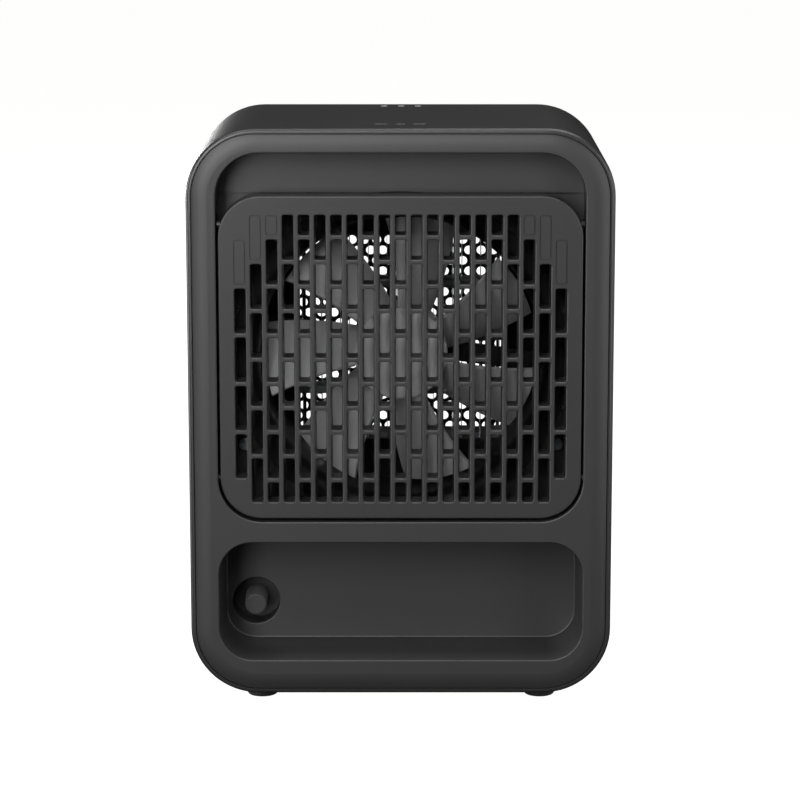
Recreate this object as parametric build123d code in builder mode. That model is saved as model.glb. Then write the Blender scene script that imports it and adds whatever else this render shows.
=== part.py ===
from build123d import *
import os

# Compact ceramic (PTC) fan heater, in millimetres.
#
# Frame: +Z up, +Y along the air stream (rear intake at -Y, warm air outlet at +Y), +X to the right
# as seen from the rear. The origin is on the floor, under the middle of the body.
#
# A rounded rectangular sleeve is closed by a rear cover and a front cover. The rear cover has one
# mouth for the tilting slotted intake panel with a finger pocket above it, and a deep cord recess
# below. Behind the panel sit the axial fan and its motor, the air duct, the ceramic heating
# element, the outlet duct and the outlet grille. A rotary selector is below the outlet.

os.makedirs("parts", exist_ok=True)

# ---------------------------------------------------------------- driving dimensions
width = 190.0            # sleeve, outside
body_height = 257.2      # sleeve, outside
corner = 30.4            # sleeve corner radius, seen from the rear
sleeve_end = 58.0        # half the sleeve's length along the air stream
sleeve_edge = 1.8        # rounding of the sleeve's two ends
face = 59.0              # the covers' faces lie at -face and +face
wall = 2.2               # sleeve wall
seam = 0.3               # gap between the sleeve and each cover
skin = 2.2               # wall of the moulded covers
crown_radius = 18.0      # soft crown round the border of each cover
crown_width = 7.0
cover_wall_depth = 21.0  # edge wall of the covers that slides into the sleeve
face_skin = 3.8          # thickness of the covers' crowned face
foot_height = 4.3        # part of each foot that shows under the sleeve
foot_radius = 7.0
foot_x = 63.5
foot_y = 42.5

mid_z = foot_height + body_height / 2
floor_z = foot_height + wall

# mouth of the rear cover: intake panel below, finger pocket above
mouth_half = 81.9
mouth_bottom = 84.5
mouth_top = 250.8
mouth_corner = 19.5
pocket_depth = 16.5      # face to the back wall of the finger pocket
pocket_bottom = 231.5
plenum_depth = 18.5      # face to the wall that holds the fan

# intake panel
panel_half = 80.85
panel_bottom = 86.0
panel_top = 231.8
panel_corner = 18.6
panel_face = 0.4         # panel face behind the cover's face
panel_border = 2.4       # thickness of the plain border
panel_rib = 10.0         # depth of the slotted field
panel_rim = 11.0         # depth of the edge wall
panel_rim_wall = 1.8
panel_edge = 0.7         # rounding of the panel's outer edge

# slots of the panel: columns of tall slots, every other column shifted by half a pitch
slot_columns = 21
slot_rows = 6
slot_pitch_x = 7.13
slot_width = 5.3
slot_bar = 1.8
slot_field_bottom = 93.45
slot_field_top = 223.5
slot_corner = 1.25
slot_draft = 3.0         # degrees
slot_chamfer = 0.35
blind_depth = 0.5        # groove that draws the blind slots in the upper corners
blind_groove = 0.55
slot_pitch_z = (slot_field_top - slot_field_bottom + slot_bar) / slot_rows
slot_height = slot_pitch_z - slot_bar

# tilt pins and latch nibs of the panel
pin_y = -face + 4.2
pin_z = 104.1
pin_radius = 1.5
pin_clearance = 0.08
pin_reach = 2.7          # from the side of the panel
nib_z = 219.0
nib_radius = 3.0
nib_reach = 0.6

# lower cord recess of the rear cover
recess_half = 82.1
recess_bottom = 20.2
recess_top = 74.9
recess_corner = 15.0
recess_depth = 34.0
recess_draft = 2.3       # degrees
recess_wall_y = -face + recess_depth

# cord gland in the back wall of the recess
gland_x = -67.0
gland_z = 39.3
gland_radius = 10.8
gland_depth = 14.0
boot_radius = 5.05
boot_stand = 7.0         # how far the boot stands out of the recess's back wall
boot_flange = 8.0
clamp_reach = 12.9       # screws of the cord clamp, from the gland's middle

# fan
axis_z = 156.2
lip_radius = 75.6        # outer edge of the shroud's flange, seen through the slots
throat_radius = 64.0
mouth_flare = 6.0        # bell mouth ahead of the throat
impeller_radius = 62.0
hub_radius = 21.3
hub_rear = -29.5
hub_length = 22.0
blade_count = 7
blade_thickness = 1.7
blade_first = 25.7       # degrees, middle of the first blade
blade_sweep = 10.0       # degrees by which the tip leads the root
shroud_rear = -face + plenum_depth
shroud_front = 1.0
shroud_wall = 2.2
hub_bush_radius = 3.0

# motor
motor_radius = 14.0
motor_rear = -17.0
motor_length = 30.0
shaft_radius = 1.5
bearing_radius = 3.2
rotor_radius = 7.0
bracket_thick = 3.0
bracket_arm = 9.0
bracket_tilt = -8.0      # degrees, arms turned about the axis
arm_reach = 70.5

# ceramic heating element
element_half = 48.7      # half width and half height of its air passage
element_rear = 17.0
element_depth = 12.0
bar_count = 3
bar_height = 4.0
bar_sheath = 0.6
stone_count = 6
fin_pitch = 4.4
fin_thickness = 0.25
holder_rear = 14.5
holder_front = 36.0
duct_inner = 50.8        # half width of the outlet duct's air passage

# outlet
outlet_half = 56.0
outlet_corner = 13.0
outlet_hole_radius = 2.18
outlet_pitch = 5.9
outlet_row = 5.05
outlet_field = 50.5      # half width of the perforated field
outlet_plate = 1.6
ear_z = 35.0             # screw ears of the outlet duct, above and below the axis
ear_x = 66.0
grille_face = face - 2.0
tub_rear = face - 9.0

# controls
knob_z = 48.6
knob_radius = 19.0
dish_radius = 27.0
dish_depth = 9.0
spindle_radius = 3.0
bush_radius = 4.9
switch_size = 30.0
switch_depth = 20.0
lens_x = 42.0
lens_radius = 2.0

screw_head_radius = 2.8
screw_head = 1.8
screw_radius = 1.45
plenum_screw_x = 70.5
plenum_screw_dz = 39.4


# ---------------------------------------------------------------- helpers
def wall_plane(y, z=0.0, x=0.0):
    """A plane across the air stream: local x is +X, local y is +Z, and extrude(-d) goes to +Y."""
    return Plane(origin=(x, y, z), x_dir=(1, 0, 0), z_dir=(0, -1, 0))


def outline(inset):
    """The body's rounded outline, drawn in by inset from the sleeve's outside."""
    RectangleRounded(width - 2 * inset, body_height - 2 * inset, corner - inset)


def save(part, name):
    """Labels a finished piece and writes its STEP file."""
    part.label = name
    export_step(part, f"parts/{name}.step")


def pan_screws(planes, length):
    """Pan-head cross-recess screws, one per plane; heads start on the plane, tips go to -z of it."""
    with BuildPart() as screws:
        for plane in planes:
            with BuildSketch(plane):
                Circle(screw_head_radius)
            extrude(amount=-screw_head)
            with BuildSketch(plane.offset(-screw_head)):
                Circle(screw_radius)
            extrude(amount=-length)
            with BuildSketch(plane):
                Rectangle(3.2, 0.8)
                Rectangle(0.8, 3.2)
            extrude(amount=-0.9, mode=Mode.SUBTRACT)
    return screws.part


def cover_blank(end):
    """Crowned plate with an edge wall, hollow inside; end is -1 for the rear and +1 for the front."""
    reach = -(crown_radius - crown_width - wall - seam)
    facing = wall_plane(end * face, mid_z)
    with BuildPart() as blank:
        with BuildSketch(facing):
            outline(reach)
        extrude(amount=end * (crown_radius + 8))
        fillet(blank.faces().sort_by(Axis.Y)[0 if end < 0 else -1].edges(), crown_radius)
        with BuildSketch(facing):
            outline(wall + seam)
        extrude(amount=end * cover_wall_depth, mode=Mode.INTERSECT)
        with BuildSketch(facing.offset(end * face_skin)):
            outline(wall + seam + skin)
        extrude(amount=end * cover_wall_depth, mode=Mode.SUBTRACT)
    return blank.part


def cover_bosses(end):
    """Two screw bosses on the floor of a cover, over the feet."""
    with BuildPart() as bosses:
        with BuildSketch(Plane.XY.offset(floor_z + seam)):
            with Locations((-foot_x, end * foot_y), (foot_x, end * foot_y)):
                Circle(4.2)
        extrude(amount=8.0)
    return bosses.part


def foot_columns(z, height, radius):
    """Four round columns over the feet, for cutting holes or as pegs."""
    with BuildPart() as columns:
        with BuildSketch(Plane.XY.offset(z)):
            with Locations(foot_spots):
                Circle(radius)
        extrude(amount=height)
    return columns.part


foot_spots = [(x, y) for x in (-foot_x, foot_x) for y in (-foot_y, foot_y)]
plenum_spots = [(sx * plenum_screw_x, axis_z + sz * plenum_screw_dz) for sx in (-1, 1) for sz in (-1, 1)]

# ---------------------------------------------------------------- sleeve
with BuildPart() as housing_sleeve:
    with BuildSketch(wall_plane(-sleeve_end, mid_z)):
        outline(0)
        RectangleRounded(width - 2 * wall, body_height - 2 * wall, corner - wall, mode=Mode.SUBTRACT)
    extrude(amount=-2 * sleeve_end)
    ends = housing_sleeve.faces().filter_by(Axis.Y)
    fillet([edge for end in ends for edge in end.outer_wire().edges()], sleeve_edge)
    add(foot_columns(foot_height - 1, wall + 2, 2.6), mode=Mode.SUBTRACT)
save(housing_sleeve.part, "housing_sleeve")

# ---------------------------------------------------------------- rear cover
mouth_mid = (mouth_bottom + mouth_top) / 2
mouth_height = mouth_top - mouth_bottom
recess_mid = (recess_bottom + recess_top) / 2
recess_height = recess_top - recess_bottom

with BuildPart() as rear_cover:
    add(cover_blank(-1))
    add(cover_bosses(-1))
    # tub around the intake panel and the finger pocket
    with BuildSketch(wall_plane(-face + 3.0, mouth_mid)):
        RectangleRounded(2 * (mouth_half + skin), mouth_height + 2 * skin, mouth_corner + skin)
    extrude(amount=-(plenum_depth - 3.0 + skin))
    with BuildSketch(wall_plane(-face, mouth_mid)):
        RectangleRounded(2 * mouth_half, mouth_height, mouth_corner)
    extrude(amount=-pocket_depth, mode=Mode.SUBTRACT)
    with BuildSketch(wall_plane(-face, mouth_mid)):
        RectangleRounded(2 * mouth_half, mouth_height, mouth_corner)
        with Locations((0, pocket_bottom - mouth_mid + mouth_height / 2)):
            Rectangle(2 * width, mouth_height, mode=Mode.SUBTRACT)
    extrude(amount=-plenum_depth, mode=Mode.SUBTRACT)
    # locating ribs on the plenum wall, at both sides
    for side in (-1, 1):
        for rib_z in (axis_z - slot_pitch_z, axis_z + slot_pitch_z):
            with BuildSketch(wall_plane(shroud_rear - 3.5, rib_z, side * (mouth_half - 5.4))):
                Rectangle(11.4, 2.0)
            extrude(amount=-3.6)
    # opening for the fan's shroud
    with BuildSketch(wall_plane(shroud_rear - 5, axis_z)):
        Circle(lip_radius + 0.25)
    extrude(amount=-(skin + 6), mode=Mode.SUBTRACT)
    # lower recess: drafted tub
    with BuildSketch(wall_plane(-face + 3.0, recess_mid)):
        RectangleRounded(2 * (recess_half + skin), recess_height + 2 * skin, recess_corner + skin)
    extrude(amount=-(recess_depth - 3.0 + skin), taper=recess_draft)
    with BuildSketch(wall_plane(-face, recess_mid)):
        RectangleRounded(2 * recess_half, recess_height, recess_corner)
    extrude(amount=-recess_depth, taper=recess_draft, mode=Mode.SUBTRACT)
    fillet(rear_cover.edges().filter_by_position(Axis.Y, recess_wall_y - 0.01, recess_wall_y + 0.01), 0.9)
    # cup behind the cord gland
    with BuildSketch(wall_plane(recess_wall_y + 1, gland_z, gland_x)):
        Circle(gland_radius + 4.2)
    extrude(amount=-(gland_depth - 1))
    with BuildSketch(wall_plane(recess_wall_y - 1, gland_z, gland_x)):
        Circle(gland_radius)
    extrude(amount=-(gland_depth + 1 - 1.8), mode=Mode.SUBTRACT)
    with BuildSketch(wall_plane(recess_wall_y, gland_z, gland_x)):
        Circle(boot_radius)
    extrude(amount=-(gland_depth + 2), mode=Mode.SUBTRACT)
    with BuildSketch(wall_plane(recess_wall_y + gland_depth - 6.5, gland_z, gland_x)):
        with Locations((-clamp_reach, 0), (clamp_reach, 0)):
            Circle(screw_radius)
    extrude(amount=-8.0, mode=Mode.SUBTRACT)
    gland_rim = rear_cover.edges().filter_by(GeomType.CIRCLE)
    gland_rim = gland_rim.filter_by(lambda e: abs(e.radius - gland_radius) < 0.01)
    fillet(gland_rim.sort_by(Axis.Y)[0], 0.6)
    # screw holes in the plenum wall, sockets for the panel's pins, pilot holes over the feet
    for x, z in plenum_spots:
        with BuildSketch(wall_plane(shroud_rear - 1, z, x)):
            Circle(screw_radius + 0.25)
        extrude(amount=-(skin + 2), mode=Mode.SUBTRACT)
    with BuildSketch(Plane(origin=(0, pin_y, pin_z), x_dir=(0, 1, 0), z_dir=(1, 0, 0))):
        Circle(pin_radius + pin_clearance)
    extrude(amount=mouth_half + skin + 0.5, both=True, mode=Mode.SUBTRACT)
    add(foot_columns(floor_z, 7.0, screw_radius), mode=Mode.SUBTRACT)
    # soft lips round the two mouths
    lips = rear_cover.edges().filter_by_position(Axis.Y, -face - 0.01, -face + 0.01)
    lips = lips.filter_by(lambda e: recess_bottom - 1 < e.center().Z < mouth_top + 1)
    lips = lips.filter_by(lambda e: abs(e.center().X) < recess_half + 1)
    fillet(lips, 0.6)
save(rear_cover.part, "rear_cover")


# ---------------------------------------------------------------- intake panel
def slot_grid():
    """Lists every slot as (x, z, height, blind), column by column."""
    slots = []
    last = slot_columns - 1
    for column in range(slot_columns):
        x = (column - last / 2) * slot_pitch_x
        border = min(column, last - column)
        if column % 2:
            for row in range(slot_rows):
                z = slot_field_bottom + slot_height / 2 + row * slot_pitch_z
                slots.append((x, z, slot_height, border == 1 and row == slot_rows - 1))
            continue
        for row in range(slot_rows - 1):
            z = slot_field_bottom + (slot_height + slot_pitch_z) / 2 + row * slot_pitch_z
            slots.append((x, z, slot_height, border == 0 and row == slot_rows - 2))
        if border > 0:
            short = (slot_height - slot_bar) / 2
            slots.append((x, slot_field_bottom + short / 2, short, False))
            slots.append((x, slot_field_top - short / 2, short, border == 2))
    return slots


panel_y = -face + panel_face
panel_mid = (panel_bottom + panel_top) / 2
panel_height = panel_top - panel_bottom
field_mid = (slot_field_bottom + slot_field_top) / 2
field_height = slot_field_top - slot_field_bottom
field_half = slot_columns * slot_pitch_x / 2
open_slots = [slot for slot in slot_grid() if not slot[3]]
blind_slots = [slot for slot in slot_grid() if slot[3]]

with BuildPart() as intake_panel:
    with BuildSketch(wall_plane(panel_y, panel_mid)):
        RectangleRounded(2 * panel_half, panel_height, panel_corner)
    extrude(amount=-panel_rim)
    fillet(intake_panel.faces().sort_by(Axis.Y)[0].edges(), panel_edge)
    with BuildSketch(wall_plane(panel_y + panel_border, panel_mid)):
        RectangleRounded(2 * (panel_half - panel_rim_wall), panel_height - 2 * panel_rim_wall,
                         panel_corner - panel_rim_wall)
        with Locations((0, field_mid - panel_mid)):
            RectangleRounded(2 * field_half + 1, field_height + 4, 7.0, mode=Mode.SUBTRACT)
    extrude(amount=-panel_rim, mode=Mode.SUBTRACT)
    with BuildSketch(wall_plane(panel_y + panel_rib, panel_mid)):
        RectangleRounded(2 * (panel_half - panel_rim_wall), panel_height - 2 * panel_rim_wall,
                         panel_corner - panel_rim_wall)
    extrude(amount=-panel_rim, mode=Mode.SUBTRACT)
    # open slots, drafted, with a small chamfer at the face
    for height in sorted({round(slot[2], 3) for slot in open_slots}):
        spots = [(slot[0], slot[1]) for slot in open_slots if abs(slot[2] - height) < 0.01]
        with BuildSketch(wall_plane(panel_y)):
            with Locations(spots):
                RectangleRounded(slot_width, height, slot_corner)
        extrude(amount=-(panel_rib + 0.5), taper=slot_draft, mode=Mode.SUBTRACT)
        with BuildSketch(wall_plane(panel_y)):
            with Locations(spots):
                RectangleRounded(slot_width + 2 * slot_chamfer, height + 2 * slot_chamfer,
                                 slot_corner + slot_chamfer)
        extrude(amount=-slot_chamfer, taper=45, mode=Mode.SUBTRACT)
    # blind slots are only drawn by a groove
    for x, z, height, _ in blind_slots:
        with BuildSketch(wall_plane(panel_y, z, x)):
            RectangleRounded(slot_width, height, slot_corner + 0.3)
            RectangleRounded(slot_width - 2 * blind_groove, height - 2 * blind_groove,
                             slot_corner - 0.2, mode=Mode.SUBTRACT)
        extrude(amount=-blind_depth, mode=Mode.SUBTRACT)
    # tilt pins and latch nibs
    for side in (-1, 1):
        with BuildSketch(Plane(origin=(side * (panel_half - 1), pin_y, pin_z), x_dir=(0, 1, 0),
                               z_dir=(side, 0, 0))):
            Circle(pin_radius)
        extrude(amount=pin_reach + 1)
        with BuildSketch(Plane(origin=(side * (panel_half - 1), panel_y + 5.0, nib_z),
                               x_dir=(0, 1, 0), z_dir=(side, 0, 0))):
            SlotOverall(2.2 * nib_radius, nib_radius)
        extrude(amount=nib_reach + 1, taper=12)
save(intake_panel.part, "intake_panel")

# ---------------------------------------------------------------- front cover
dish_floor = face - dish_depth
duct_ears = [(sx * ear_x, axis_z + sz * ear_z) for sx in (-1, 1) for sz in (-1, 1)]

with BuildPart() as front_cover:
    add(cover_blank(1))
    add(cover_bosses(1))
    # tub that carries the outlet grille, and bosses for the outlet duct
    with BuildSketch(wall_plane(tub_rear, axis_z)):
        RectangleRounded(2 * (outlet_half + 4.6), 2 * (outlet_half + 4.6), outlet_corner + 4.6)
    extrude(amount=-6.0)
    with BuildSketch(wall_plane(tub_rear - 1, axis_z)):
        RectangleRounded(2 * (outlet_half + 2.4), 2 * (outlet_half + 2.4), outlet_corner + 2.4)
    extrude(amount=-(grille_face - tub_rear + 1), mode=Mode.SUBTRACT)
    with BuildSketch(wall_plane(grille_face - 1, axis_z)):
        RectangleRounded(2 * outlet_half, 2 * outlet_half, outlet_corner)
    extrude(amount=-5, mode=Mode.SUBTRACT)
    for x, z in duct_ears:
        with BuildSketch(wall_plane(tub_rear, z, x)):
            Circle(4.0)
            Circle(screw_radius, mode=Mode.SUBTRACT)
        extrude(amount=-5.6)
    # dish of the selector
    with BuildSketch(wall_plane(dish_floor - skin, knob_z)):
        Circle(dish_radius + 1.0)
    extrude(amount=-(dish_depth - 1.0))
    with BuildSketch(wall_plane(dish_floor, knob_z)):
        Circle(dish_radius - 2.0)
    extrude(amount=-dish_depth, taper=-12, mode=Mode.SUBTRACT)
    with BuildSketch(wall_plane(dish_floor - 6, knob_z)):
        Circle(bush_radius)
    extrude(amount=-12, mode=Mode.SUBTRACT)
    # window of the indicator and pilot holes over the feet
    with BuildSketch(wall_plane(face - 8, knob_z, lens_x)):
        Circle(lens_radius)
    extrude(amount=-10, mode=Mode.SUBTRACT)
    add(foot_columns(floor_z, 7.0, screw_radius), mode=Mode.SUBTRACT)
    lips = front_cover.edges().filter_by_position(Axis.Y, face - 0.01, face + 0.01)
    lips = lips.filter_by(lambda e: e.center().Z < axis_z + outlet_half + 1)
    lips = lips.filter_by(lambda e: abs(e.center().X) < outlet_half + 1 and e.length > 20)
    fillet(lips, 0.6)
save(front_cover.part, "front_cover")

# ---------------------------------------------------------------- outlet grille
hole_rows = int(outlet_field / outlet_row)
hole_steps = int(outlet_field / outlet_pitch) + 1
hole_spots = [((step + 0.5 * (row % 2)) * outlet_pitch, row * outlet_row)
              for row in range(-hole_rows, hole_rows + 1) for step in range(-hole_steps, hole_steps)]
hole_spots = [(x, z) for x, z in hole_spots if abs(x) < outlet_field]

with BuildPart() as outlet_grille:
    with BuildSketch(wall_plane(grille_face - outlet_plate, axis_z)):
        RectangleRounded(2 * outlet_half + 4.4, 2 * outlet_half + 4.4, outlet_corner + 2.2)
        with Locations(hole_spots):
            Circle(outlet_hole_radius, mode=Mode.SUBTRACT)
    extrude(amount=-outlet_plate)
save(outlet_grille.part, "outlet_grille")

# ---------------------------------------------------------------- outlet duct
with BuildPart() as outlet_duct:
    with BuildSketch(wall_plane(holder_front, axis_z)):
        RectangleRounded(2 * (duct_inner + shroud_wall), 2 * (duct_inner + shroud_wall), 6.0)
    extrude(amount=-(grille_face - outlet_plate - holder_front))
    with BuildSketch(wall_plane(grille_face - outlet_plate - 2.0, axis_z)):
        RectangleRounded(2 * outlet_half + 4.4, 2 * outlet_half + 4.4, outlet_corner + 2.2)
    extrude(amount=-2.0)
    for sz in (-1, 1):
        with BuildSketch(wall_plane(tub_rear - 3.0, axis_z + sz * ear_z)):
            SlotOverall(2 * (ear_x + 6.0), 12.0)
        extrude(amount=-3.0)
    with BuildSketch(wall_plane(holder_front, axis_z)):
        RectangleRounded(2 * duct_inner, 2 * duct_inner, 4.0)
    extrude(amount=-(face - holder_front), mode=Mode.SUBTRACT)
    for x, z in duct_ears:
        with BuildSketch(wall_plane(tub_rear - 3.0, z, x)):
            Circle(screw_radius + 0.2)
        extrude(amount=-3.0, mode=Mode.SUBTRACT)
save(outlet_duct.part, "outlet_duct")
save(pan_screws([wall_plane(tub_rear - 3.0 - screw_head, z, x) for x, z in duct_ears], 7.5), "duct_screws")

# ---------------------------------------------------------------- fan shroud
arm_direction = Vector(1, 0, 0).rotate(Axis.Y, -bracket_tilt)
arm_plane = Plane(origin=(0, shroud_front, axis_z), x_dir=arm_direction, z_dir=(0, -1, 0))
arm_ends = [(-arm_reach, 0), (arm_reach, 0)]
plenum_back = shroud_rear + skin

with BuildPart() as fan_shroud:
    with BuildSketch(Plane.XY.offset(axis_z)):
        with BuildLine():
            flare_bend = mouth_flare * (1 - 0.5 ** 0.5)
            mouth = (throat_radius + mouth_flare, shroud_rear)
            throat = (throat_radius, shroud_rear + mouth_flare)
            ThreePointArc(mouth, (throat_radius + flare_bend, shroud_rear + flare_bend), throat)
            Polyline(throat, (throat_radius, shroud_front), (throat_radius + shroud_wall, shroud_front),
                     (throat_radius + shroud_wall, shroud_rear + 9.0), (lip_radius - 2, plenum_back),
                     (lip_radius, plenum_back), (lip_radius, shroud_rear), mouth)
        make_face()
    revolve(axis=Axis((0, 0, axis_z), (0, 1, 0)))
    # webs and bosses for the plenum screws
    for x, z in plenum_spots:
        radial = Vector(x, 0, z - axis_z).normalized()
        web_plane = Plane(origin=(x * 0.93, plenum_back, axis_z + (z - axis_z) * 0.93),
                          x_dir=(radial.X, 0, radial.Z), z_dir=(0, -1, 0))
        with BuildSketch(web_plane):
            Rectangle(14.0, 6.0)
        extrude(amount=-6.0)
        with BuildSketch(wall_plane(plenum_back, z, x)):
            Circle(4.0)
        extrude(amount=-9.0)
    # bosses under the ends of the motor bracket, with notches for its arms
    with BuildSketch(arm_plane.offset(bracket_thick)):
        with Locations(arm_ends):
            Circle(4.5)
        with GridLocations(2 * arm_reach - 6.0, 1, 2, 1):
            Rectangle(8.0, 9.0)
    extrude(amount=12.0)
    with BuildSketch(wall_plane(shroud_rear - 1, axis_z)):
        Circle(throat_radius)
    extrude(amount=-(shroud_front - shroud_rear + 2), mode=Mode.SUBTRACT)
    with BuildSketch(arm_plane):
        SlotOverall(2 * arm_reach + bracket_arm, bracket_arm + 0.3)
    extrude(amount=bracket_thick, mode=Mode.SUBTRACT)
    with BuildSketch(arm_plane):
        with Locations(arm_ends):
            Circle(screw_radius)
    extrude(amount=bracket_thick + 9.0, mode=Mode.SUBTRACT)
    for x, z in plenum_spots:
        with BuildSketch(wall_plane(plenum_back, z, x)):
            Circle(screw_radius)
        extrude(amount=-8.0, mode=Mode.SUBTRACT)
save(fan_shroud.part, "fan_shroud")
save(pan_screws([wall_plane(shroud_rear - screw_head, z, x) for x, z in plenum_spots], 9.5), "plenum_screws")

# ---------------------------------------------------------------- impeller
axle = Axis((0, 0, axis_z), (0, 1, 0))
blade_mid_y = hub_rear + hub_length / 2


def blade_section(radius, angle, half_chord, half_rise, bulge):
    """Curved strip across one blade at a radius; leading edge is at +half_chord, towards -Y."""
    turn = Vector(1, 0, 0).rotate(Axis.Y, -angle)
    across = Vector(0, 0, 1).rotate(Axis.Y, -angle)
    plane = Plane(origin=turn * radius + Vector(0, blade_mid_y, axis_z), x_dir=across, z_dir=turn)
    slope = (half_chord ** 2 + half_rise ** 2) ** 0.5
    normal = (-half_rise / slope, half_chord / slope)
    upper = blade_thickness / 2
    rim = []
    for side in (upper, -upper):
        start = (-half_chord + normal[0] * side, -half_rise + normal[1] * side)
        middle = (normal[0] * (bulge + side), normal[1] * (bulge + side))
        end = (half_chord + normal[0] * side, half_rise + normal[1] * side)
        rim.append((start, middle, end))
    with BuildSketch(plane) as section:
        with BuildLine():
            ThreePointArc(*rim[0])
            Line(rim[0][2], rim[1][2])
            ThreePointArc(*rim[1][::-1])
            Line(rim[1][0], rim[0][0])
        make_face()
    return section.sketch


# radius, lead over the middle angle as a share of the sweep, half chord, half rise, bulge
blade_stations = [
    (hub_radius - 1.2, -0.5, 7.5, 8.6, 1.2),
    (41.0, 0.0, 11.8, 8.6, 1.8),
    (impeller_radius + 1.5, 0.5, 16.5, 8.2, 2.2),
]

with BuildPart() as blade:
    for radius, lead, half_chord, half_rise, bulge in blade_stations:
        add(blade_section(radius, blade_first + lead * blade_sweep, half_chord, half_rise, bulge))
    loft()
    with BuildSketch(wall_plane(hub_rear - 5, axis_z)):
        Circle(impeller_radius)
        Circle(hub_radius - 0.8, mode=Mode.SUBTRACT)
    extrude(amount=-(hub_length + 15), mode=Mode.INTERSECT)

with BuildPart() as impeller:
    with BuildSketch(wall_plane(hub_rear, axis_z)):
        Circle(hub_radius)
    extrude(amount=-hub_length)
    fillet(impeller.faces().sort_by(Axis.Y)[0].edges(), 1.2)
    with BuildSketch(wall_plane(hub_rear + 2.0, axis_z)):
        Circle(hub_radius - 1.7)
        Circle(5.0, mode=Mode.SUBTRACT)
    extrude(amount=-hub_length, mode=Mode.SUBTRACT)
    with BuildSketch(wall_plane(hub_rear + 10.0, axis_z)):
        Circle(5.0)
    extrude(amount=-hub_length, mode=Mode.SUBTRACT)
    with BuildSketch(wall_plane(hub_rear + 2.0, axis_z)):
        Circle(hub_bush_radius)
    extrude(amount=-hub_length, mode=Mode.SUBTRACT)
    for index in range(blade_count):
        add(blade.part.rotate(axle, -index * 360 / blade_count))
save(impeller.part, "impeller")


def ring(y, length, outer, inner):
    """A tube about the fan's axle from y, length long along +Y."""
    with BuildPart() as tube:
        with BuildSketch(wall_plane(y, axis_z)):
            Circle(outer)
            if inner:
                Circle(inner, mode=Mode.SUBTRACT)
        extrude(amount=-length)
    return tube.part


save(ring(hub_rear + 2.0, 8.0, hub_bush_radius, shaft_radius), "hub_bush")

# ---------------------------------------------------------------- motor
motor_front = motor_rear + motor_length
with BuildPart() as motor_can:
    add(ring(motor_rear, motor_length - 1.2, motor_radius, motor_radius - 1.0))
    add(ring(motor_rear, 1.2, motor_radius, bearing_radius))
    fillet(motor_can.edges().filter_by(GeomType.CIRCLE).sort_by(Axis.Y)[0:2].sort_by(SortBy.RADIUS)[-1], 0.8)
save(motor_can.part, "motor_can")
save(ring(motor_front - 1.2, 1.2, motor_radius, bearing_radius), "motor_end_cap")
save(ring(motor_rear + 6.0, 16.0, motor_radius - 1.0, rotor_radius + 0.4), "motor_stator")
save(ring(motor_rear + 6.0, 16.0, rotor_radius, shaft_radius), "motor_rotor")
save(ring(hub_rear + 2.0, motor_front - hub_rear - 3.0, shaft_radius, 0), "motor_shaft")

with BuildPart() as motor_bearings:
    add(ring(motor_rear, 4.0, bearing_radius, shaft_radius + 0.05))
    add(ring(motor_front - 4.0, 4.0, bearing_radius, shaft_radius + 0.05))
save(motor_bearings.part, "motor_bearings")

with BuildPart() as motor_bracket:
    with BuildSketch(arm_plane):
        SlotOverall(2 * arm_reach + bracket_arm - 0.4, bracket_arm)
    extrude(amount=bracket_thick)
    add(ring(shroud_front - bracket_thick, 9.0, motor_radius + 3.0, 0))
    add(ring(shroud_front - bracket_thick - 1, 11.0, motor_radius, 0), mode=Mode.SUBTRACT)
    with BuildSketch(arm_plane):
        with Locations(arm_ends):
            Circle(screw_radius + 0.2)
    extrude(amount=bracket_thick, mode=Mode.SUBTRACT)
save(motor_bracket.part, "motor_bracket")

screw_planes = []
for x, z in arm_ends:
    seat = arm_plane.origin + arm_plane.x_dir * x
    screw_planes.append(Plane(origin=seat + Vector(0, screw_head, 0), x_dir=(1, 0, 0), z_dir=(0, 1, 0)))
save(pan_screws(screw_planes, 9.0), "bracket_screws")

# ---------------------------------------------------------------- air duct
with BuildPart() as air_duct:
    with BuildSketch(wall_plane(shroud_front, axis_z)):
        Circle(throat_radius + shroud_wall)
    with BuildSketch(wall_plane(holder_rear, axis_z)):
        RectangleRounded(2 * element_half + 5, 2 * element_half + 5, 8.0)
    loft()
    with BuildSketch(wall_plane(shroud_front, axis_z)):
        Circle(throat_radius)
    with BuildSketch(wall_plane(holder_rear, axis_z)):
        RectangleRounded(2 * element_half, 2 * element_half, 6.0)
    loft(mode=Mode.SUBTRACT)
save(air_duct.part, "air_duct")

# ---------------------------------------------------------------- ceramic heating element
fin_gap = (2 * element_half - bar_count * bar_height) / (bar_count + 1)
bar_levels = [axis_z - element_half + (k + 1) * fin_gap + (k + 0.5) * bar_height for k in range(bar_count)]
element_mid = element_rear + element_depth / 2

with BuildPart() as element_holder:
    with BuildSketch(wall_plane(holder_rear, axis_z)):
        RectangleRounded(2 * element_half + 9.6, 2 * element_half + 9.6, 5.0)
        Rectangle(2 * element_half, 2 * element_half, mode=Mode.SUBTRACT)
    extrude(amount=-(holder_front - holder_rear))
    for side in (-1, 1):
        with BuildSketch(wall_plane(element_rear + element_depth, axis_z, side * 45.7)):
            Rectangle(1.2, 2 * element_half)
        extrude(amount=-3.0)
    for level in bar_levels:
        with BuildSketch(wall_plane(element_mid - 3.3, level, element_half + 2.5)):
            Rectangle(6.0, 1.0)
        extrude(amount=-6.6, mode=Mode.SUBTRACT)
save(element_holder.part, "element_holder")

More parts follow.
